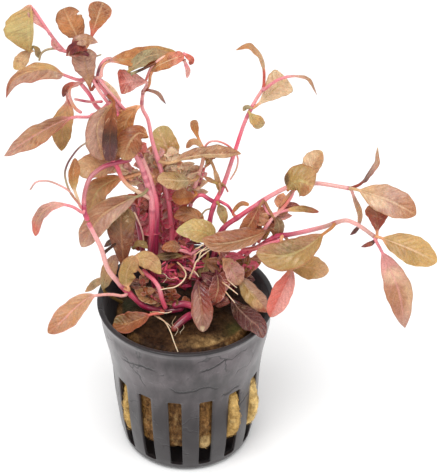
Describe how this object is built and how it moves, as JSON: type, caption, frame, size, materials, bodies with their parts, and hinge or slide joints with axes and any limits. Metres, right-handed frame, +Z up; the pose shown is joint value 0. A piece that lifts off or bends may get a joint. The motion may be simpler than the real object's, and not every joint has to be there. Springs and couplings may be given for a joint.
{
  "type": "potted mini scarlet temple",
  "caption": "Red-stemmed aquarium plant with tan, olive and rust leaves, rooted in mineral wool in a black slotted net pot.",
  "frame": {"origin": "middle of the pot's flat bottom, at the level it stands on", "axes": "+Z up along the pot's axis; +X to the right and +Y away, as the picture sees the plant"},
  "size_m": [0.1254, 0.0547, 0.1467],
  "materials": {
    "black_plastic": "satin, faintly scratched",
    "mineral_wool": "matte, damp fibre",
    "pink_stem": "satin, soft living tissue",
    "magenta_stem": "satin, soft living tissue",
    "tan": "satin, soft living tissue",
    "tan_pink": "satin, soft living tissue",
    "olive": "satin, soft living tissue",
    "pale_green": "satin, soft living tissue",
    "brown": "satin, soft living tissue",
    "rust": "satin, soft living tissue",
    "dark_brown": "satin, soft living tissue",
    "mauve": "satin, soft living tissue",
    "coral": "satin, soft living tissue",
    "dark_red": "satin, soft living tissue"
  },
  "bodies": {
    "root": {"net_pot": "black_plastic", "rockwool": "mineral_wool", "stem_left_main": "pink_stem", "stem_left_top": "pink_stem", "stem_centre": "pink_stem", "stem_centre_right": "tan_pink", "stem_left_outer": "pink_stem", "stem_left_arch": "magenta_stem", "stem_tall_right": "pink_stem", "stem_right_upper": "pink_stem", "stem_right_lower": "pink_stem", "left_crown_west": "tan", "left_crown_broad": "mauve", "left_crown_brown": "brown", "left_crown_orange": "rust", "left_crown_olive": "olive", "left_crown_hanging": "olive", "left_crown_long": "tan_pink", "left_crown_east": "tan", "mid_left_tan": "tan_pink", "mid_left_dark": "dark_brown", "mid_left_orange": "rust", "mid_left_rust": "brown", "mid_left_pale": "tan_pink", "mid_left_big": "brown", "mid_left_olive": "olive", "left_node_upright": "olive", "left_node_red_tip": "coral", "low_left_brown": "dark_brown", "low_left_grey": "olive", "low_left_tan": "tan_pink", "pot_leaf": "coral", "heart_tan": "tan", "heart_yellow": "olive", "heart_curl": "brown", "heart_wet": "dark_red", "centre_crown_red": "dark_red", "centre_crown_orange": "rust", "centre_green": "pale_green", "centre_long": "brown", "centre_grey": "mauve", "centre_rust": "rust", "centre_brown": "rust", "centre_pale": "pale_green", "tall_right_hook": "tan", "tall_right_sickle": "tan_pink", "tall_right_fan": "pale_green", "right_upper_round": "olive", "right_upper_pale": "tan_pink", "right_tip_sickle": "mauve", "right_tip_tan": "tan_pink", "right_low_red": "dark_red", "right_low_olive": "olive", "right_low_hanging": "tan_pink", "right_low_tan": "tan", "right_low_back": "olive", "right_coral": "coral", "rim_olive": "olive", "rim_mauve": "mauve", "right_shell": "brown"}
  },
  "joints": []
}
